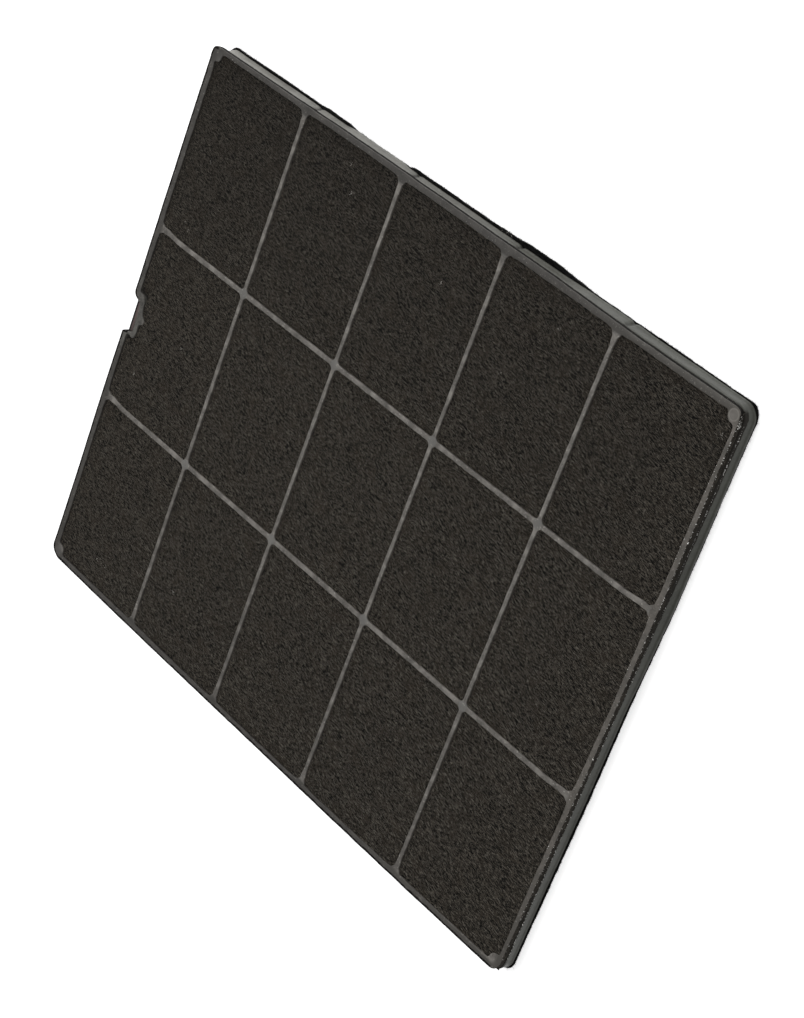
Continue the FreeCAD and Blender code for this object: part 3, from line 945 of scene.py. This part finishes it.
def fibre_streaks():
    """Streaks, glints, pits, clouds and height of a needled fleece, by place on the object."""
    inputs = [("Fibres per metre", "NodeSocketFloat"), ("Stretch", "NodeSocketVector")]
    outputs = ("Streaks", "Glints", "Pits", "Clouds", "Height")
    group, given = new_group("fibre_streaks", inputs, outputs)
    at, per_metre, stretch = place_on(group), given["Fibres per metre"], given["Stretch"]
    turn = {"Vector": at, "Rotation": (0, 0, -FIBRE_TURN)}
    turned = add(group, "ShaderNodeMapping", turn).outputs[0]
    lay = add(group, "ShaderNodeVectorMath", {0: turned, 1: stretch}, operation="MULTIPLY").outputs[0]
    streak = speckle(group, lay, per_metre, 4.0)
    glint = speckle(group, lay, product(group, per_metre, 0.8), 1.0)
    hole = speckle(group, turned, product(group, per_metre, 0.6), 2.0)
    pits = ramp(group, hole, 0.43, 0.38)
    outputs = {
        "Streaks": ramp(group, streak, 0.46, 0.545),
        "Glints": ramp(group, glint, 0.6, 0.65),
        "Pits": pits,
        "Clouds": speckle(group, at, product(group, per_metre, 0.03), 3.0),
        "Height": maths(group, "SUBTRACT", streak, pits),
    }
    add(group, "NodeGroupOutput", outputs)
    return group


FLEECE = fibre_streaks()


def fibres_of(tree, per_metre, along=1.0):
    """The outputs of the fleece's fibres at that fineness, drawn out along their lay."""
    inputs = {"Fibres per metre": per_metre, "Stretch": (along, 1.0, 1.0)}
    return add(tree, "ShaderNodeGroup", inputs, node_tree=FLEECE).outputs


def fleece_skin(tree, colour, height, bump, depth):
    """The dry surface that the mat, the backing fleece and their fibres share."""
    skin(tree, colour, height, roughness=0.95, specular=0.12, bump=bump, depth=depth)


CARBON = shade((73, 68, 61))
CARBON_GAP = shade((8, 8, 7))
CARBON_PIT = shade((4, 4, 4))
BROWNISH = shade((52, 46, 39))
GLINT = shade((112, 107, 99))
FAR_SIDE_SHADE = shade((14, 13, 12))
tree = new_material("carbon_fleece", mat)
x, y = axes_of(tree)[:2]
fibre = fibres_of(tree, 4400.0, 0.16)
colour = blend(tree, fibre["Streaks"], CARBON_GAP, CARBON)
colour = blend(tree, ramp(tree, fibre["Clouds"], 0.48, 0.72, 0.0, 0.6), colour, BROWNISH)
lit_part = ramp(tree, maths(tree, "SUBTRACT", x, y), -200 * MM, 140 * MM, 0.35, 0.7)
colour = blend(tree, product(tree, fibre["Glints"], lit_part), colour, GLINT)
colour = blend(tree, fibre["Pits"], colour, CARBON_PIT)
# Painted shade: the mat is darker towards the +Y side and the end with the notch.
towards_notch = ramp(tree, x, 130 * MM, -130 * MM, 0.14, 0.36)
painted_dim_shade = product(tree, ramp(tree, y, 10 * MM, 106 * MM), towards_notch)
colour = blend(tree, painted_dim_shade, colour, FAR_SIDE_SHADE)
fleece_skin(tree, colour, fibre["Height"], bump=0.8, depth=0.4 * MM)
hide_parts("carbon_mat")
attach(mat, "root")

# Loose fibres of the mat. Short ends that the needles pulled up, a tenth of a millimetre thick,
# lying along the face of the mat and paler than it where they catch the light.
FIBRE_COUNT = 13000
FIBRE_SEED = 21
# None starts this near the mat's edge, or this far under the grille's face.
FIBRE_MARGIN = 3 * MM
FIBRE_DROP = 1.2 * MM
# No fibre runs this way, which tells its sides apart.
ASKEW = (0.13, 0.21, 0.97)


def strands(name, roots, headings, lengths, halves, arches):
    """A piece of short three-sided fibres, thinner at both ends and arched sideways."""
    ahead = headings / np.linalg.norm(headings, axis=1)[:, None]
    side = np.cross(ahead, ASKEW)
    side /= np.linalg.norm(side, axis=1)[:, None]
    over = np.cross(side, ahead)
    rings = []
    for share, thin in ((0.0, 0.5), (0.5, 1.0), (1.0, 0.4)):
        middle = roots + ahead * (lengths * share)[:, None] + arches * 4 * share * (1 - share)
        for turn in (90, 210, 330):
            angle = math.radians(turn)
            spoke = math.cos(angle) * side + math.sin(angle) * over
            rings.append(middle + spoke * (halves * thin)[:, None])
    points = np.stack(rings, axis=1).reshape(-1, 3)
    tube = [(0, 1, 2), (8, 7, 6)]
    for low in (0, 3):
        for k in range(3):
            after = (k + 1) % 3
            tube.append((low + k, low + 3 + k, low + 3 + after, low + after))
    faces = [tuple(9 * n + k for k in face) for n in range(len(roots)) for face in tube]
    return mesh_object(name, points, faces)


draw = np.random.default_rng(FIBRE_SEED)
spots = draw.uniform(cut_low + FIBRE_MARGIN, cut_high - FIBRE_MARGIN, (FIBRE_COUNT, 2))
heading = FIBRE_TURN + draw.normal(0, 0.28, FIBRE_COUNT)
lengths = draw.uniform(0.7, 2.4, FIBRE_COUNT) * MM
ends = spots + np.column_stack([np.cos(heading), np.sin(heading)]) * lengths[:, None]
first, last = mat_height(spots), mat_height(ends)
clear = np.minimum(first, last) > FRONT - FIBRE_DROP
spots, ends, first, last = spots[clear], ends[clear], first[clear], last[clear]
roots = np.column_stack([spots, first + 0.02 * MM])
reach = np.column_stack([ends, last + draw.uniform(0.0, 0.12, len(ends)) * MM]) - roots
arches = draw.normal(0, 0.08, (len(roots), 3)) * MM
arches[:, 2] = np.abs(arches[:, 2]) * 0.8 + 0.05 * MM
halves = draw.uniform(0.035, 0.06, len(roots)) * MM
mat_fibres = strands("mat_fibres", roots, reach, np.linalg.norm(reach, axis=1), halves, arches)

DARK_FIBRE = shade((40, 38, 34))
PALE_FIBRE = shade((116, 110, 100))
tree = new_material("carbon_fibre", mat_fibres)
fibre = fibres_of(tree, 900.0)
colour = blend(tree, fibre["Streaks"], DARK_FIBRE, PALE_FIBRE)
fleece_skin(tree, colour, fibre["Height"], bump=0.2, depth=0.1 * MM)
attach(mat_fibres, "root")

# Backing fleece. A thin black sheet bonded behind the tray and cut by hand, so that its edge
# stands out, stays short or bulges from place to place. The tray's ribs show through its back.
FLEECE_HIGH = 0.8 * MM
FLEECE_CORNER_R = 4.4 * MM
FLEECE_STEP = 0.5 * MM
FLAT_INSET = 3 * MM
# Its back: the height of the lowest part, the spacing of its points, the border that stays flat,
# and how deep and wide the ribs press it in, and over what width that fades at the border.
UNDER = 0.02 * MM
BACK_STEP = 2.2 * MM
BACK_MARGIN = 5 * MM
PRESS_DEPTH = 0.16 * MM
PRESS_REACH = 2.2 * MM
PRESS_FADE = 4 * MM
# Profile of the cut edge from the back to the front: how far in it lies and its height, in mm,
# and its share of the curl.
EDGE_PROFILE = (
    (0.12, 0.02, 0.3),
    (0.0, 0.2, 0.6),
    (-0.06, 0.45, 1.0),
    (0.02, 0.72, 1.0),
    (0.4, 0.79, 0.6),
)
# How far the cut edge stands out along the +Y side, as pairs of X and millimetres, and evenly
# along the +X side from its -Y end.
EDGE_ON_LONG_SIDE = (
    (-132, 0.6), (-123, 0.7), (-100, 0.9), (-95, 0.85), (-92, 0.7), (-80, 0.68), (-76, 1.05),
    (-64, 0.85), (-60, 0.25), (-32, 0.2), (-29.5, 0.95), (-9, 0.97), (5, 0.9), (13, 1.0),
    (22, 1.2), (29, 1.75), (43, 1.75), (50, 1.05), (58, 0.55), (72, 0.4), (81, 0.35),
    (87, 0.45), (120, 0.3), (130, 0.45),
)
EDGE_ON_SHORT_SIDE = (-0.4, -0.05, 0.35, 0.1, 0.8, 0.4, 0.2)
# How far the cut edge curls up along the +Y side, as pairs of X and millimetres.
CURL_ON_LONG_SIDE = (
    (-128, 0.2), (-122, 0.9), (-98, 0.9), (-94, 0.2), (18, 0.2), (26, 0.7), (42, 0.7), (50, 0.2),
)
CURL_ON_SHORT_SIDE = (0.1, 0.1)
LEAST_CURL = 0.02


def cut_edge(line, out):
    """How far the fleece's cut edge stands out at each point of the outline, in millimetres."""
    stand = on_two_sides(line, out, EDGE_ON_LONG_SIDE, EDGE_ON_SHORT_SIDE)
    return stand + 0.12 * waver(line, 3 * MM, 12) + 0.10 * waver(line, 0.9 * MM, 13) - 0.05


bm = bmesh.new()
line = rounded_line(FLEECE_CORNER_R, FLEECE_STEP)
out = outward(line)
line = line + out * (cut_edge(line, out) * MM)[:, None]
curl = on_two_sides(line, out, CURL_ON_LONG_SIDE, CURL_ON_SHORT_SIDE)
curl = np.maximum(curl, LEAST_CURL) * MM
rings = []
for inset, height, lift in EDGE_PROFILE:
    depth = inset + 0.05 * waver(line + height, 0.7 * MM, 14)
    rings.append(add_ring(bm, line - out * (depth * MM)[:, None], height * MM + curl * lift))
rings.append(add_ring(bm, line - out * FLAT_INSET, FLEECE_HIGH - NEAR))
for below, above in zip(rings, rings[1:]):
    join_rings(bm, below, above)
fill(bm, ring_edges(bm, rings[-1]), 1)
corner = np.array((HALF_X - BACK_MARGIN, HALF_Y - BACK_MARGIN))
plan, faces, border = grid(-corner, corner, BACK_STEP)
pitch = np.array((BOSS_PITCH_X, BOSS_PITCH_Y))
from_rib = (pitch - np.abs((plan / pitch + 1) % 2 - 1) * pitch).min(axis=1)
press = np.exp(-((from_rib / PRESS_REACH) ** 2))
sag = PRESS_DEPTH * press + 0.05 * MM * np.abs(waver(plan, 6 * MM, 15))
sag *= np.clip((corner - np.abs(plan)).min(axis=1) / PRESS_FADE, 0, 1)
back = add_ring(bm, plan, UNDER + sag)
for face in faces:
    bm.faces.new([back[k] for k in reversed(face)])
level_ring = add_ring(bm, line - out * FLAT_INSET, UNDER)
join_rings(bm, level_ring, rings[0])
fill(bm, ring_edges(bm, level_ring) + ring_edges(bm, [back[k] for k in border]), -1)
bmesh.ops.recalc_face_normals(bm, faces=bm.faces)
fleece = object_from(bm, "black_backing_fleece")
smooth(fleece, 50)

BLACK = shade((8, 8, 8))
GREYISH = shade((26, 26, 25))
tree = new_material("black_fleece", fleece)
fibre = fibres_of(tree, 1500.0, 0.6)
colour = blend(tree, fibre["Streaks"], BLACK, GREYISH)
fleece_skin(tree, colour, fibre["Height"], bump=0.7, depth=0.3 * MM)

# Fuzz of the cut edge. Fibres of the backing fleece that the knife left standing out, rooted just
# inside the edge and leaning every way.
FUZZ_COUNT = 3600
FUZZ_SEED = 31
FUZZ_ROOT = 0.2 * MM
SHORTEST_FUZZ = 0.25 * MM
draw = np.random.default_rng(FUZZ_SEED)
pick = draw.integers(0, len(line), FUZZ_COUNT)
level = draw.uniform(0.1, 0.75, FUZZ_COUNT) * MM
roots = np.column_stack([line[pick] - out[pick] * FUZZ_ROOT, level + curl[pick]])
lean = draw.normal(0, 0.6, FUZZ_COUNT)
along = np.column_stack([-out[pick, 1], out[pick, 0]])
rise = np.maximum(draw.normal(0.25, 0.35, FUZZ_COUNT), -0.1)
heading = np.column_stack([out[pick] + along * lean[:, None], rise])
lengths = draw.gamma(2.2, 0.17, FUZZ_COUNT) * MM + SHORTEST_FUZZ
halves = draw.uniform(0.03, 0.06, FUZZ_COUNT) * MM
arches = draw.normal(0, 0.08 * MM, (FUZZ_COUNT, 3))
fuzz = strands("fleece_fuzz", roots, heading, lengths, halves, arches)
fuzz.data.materials.append(fleece.data.materials[0])
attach(fuzz, "root")
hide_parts("backing_fleece")
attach(fleece, "root")

# Lint. Pale dust fibres that have settled on the mat, a few at each spot, and along the fleece's
# edge on the +Y side.
LINT_SEED = 41
LINT_AT_SPOT = 5
# Spots in X and Y, in mm.
LINT_SPOTS = (
    (-116, 67.4), (-119, 43), (-116.5, 40.6), (-46, 89.5), (-50.9, 97.8), (5, 81.8), (57, 92.6),
    (41.4, 68), (128, 95.1), (-100.1, 1.2), (-119.9, -20.4), (-107.6, -93.7), (-102.2, -93.5),
    (-63.8, -80.9),
)
# Along the edge: how many, and from where to where in X, Y and Z, in mm.
EDGE_LINT = 26
EDGE_LINT_SPAN = ((13, 32), (106.3, 107.2), (0.7, 1.1))
draw = np.random.default_rng(LINT_SEED)
spots = np.repeat(np.array(LINT_SPOTS), LINT_AT_SPOT, axis=0)
spots += draw.normal(0, 0.4, spots.shape)
roots = np.column_stack([spots * MM, mat_height(spots * MM) + 0.05 * MM])
edge = [draw.uniform(low, high, EDGE_LINT) for low, high in EDGE_LINT_SPAN]
roots = np.vstack([roots, np.column_stack(edge) * MM])
turn = draw.uniform(0, 2 * math.pi, len(roots))
heading = np.column_stack([np.cos(turn), np.sin(turn), draw.uniform(0, 0.3, len(roots))])
lengths = draw.uniform(0.3, 0.9, len(roots)) * MM
halves = draw.uniform(0.05, 0.1, len(roots)) * MM
arches = draw.normal(0, 0.15 * MM, (len(roots), 3))
lint = strands("lint", roots, heading, lengths, halves, arches)

DUSTY = shade((120, 117, 110))
PALE_DUST = shade((190, 187, 180))
tree = new_material("lint_fibre", lint)
fibre = fibres_of(tree, 1500.0)
colour = blend(tree, fibre["Streaks"], DUSTY, PALE_DUST)
fleece_skin(tree, colour, fibre["Height"], bump=0.2, depth=0.1 * MM)
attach(lint, "root")
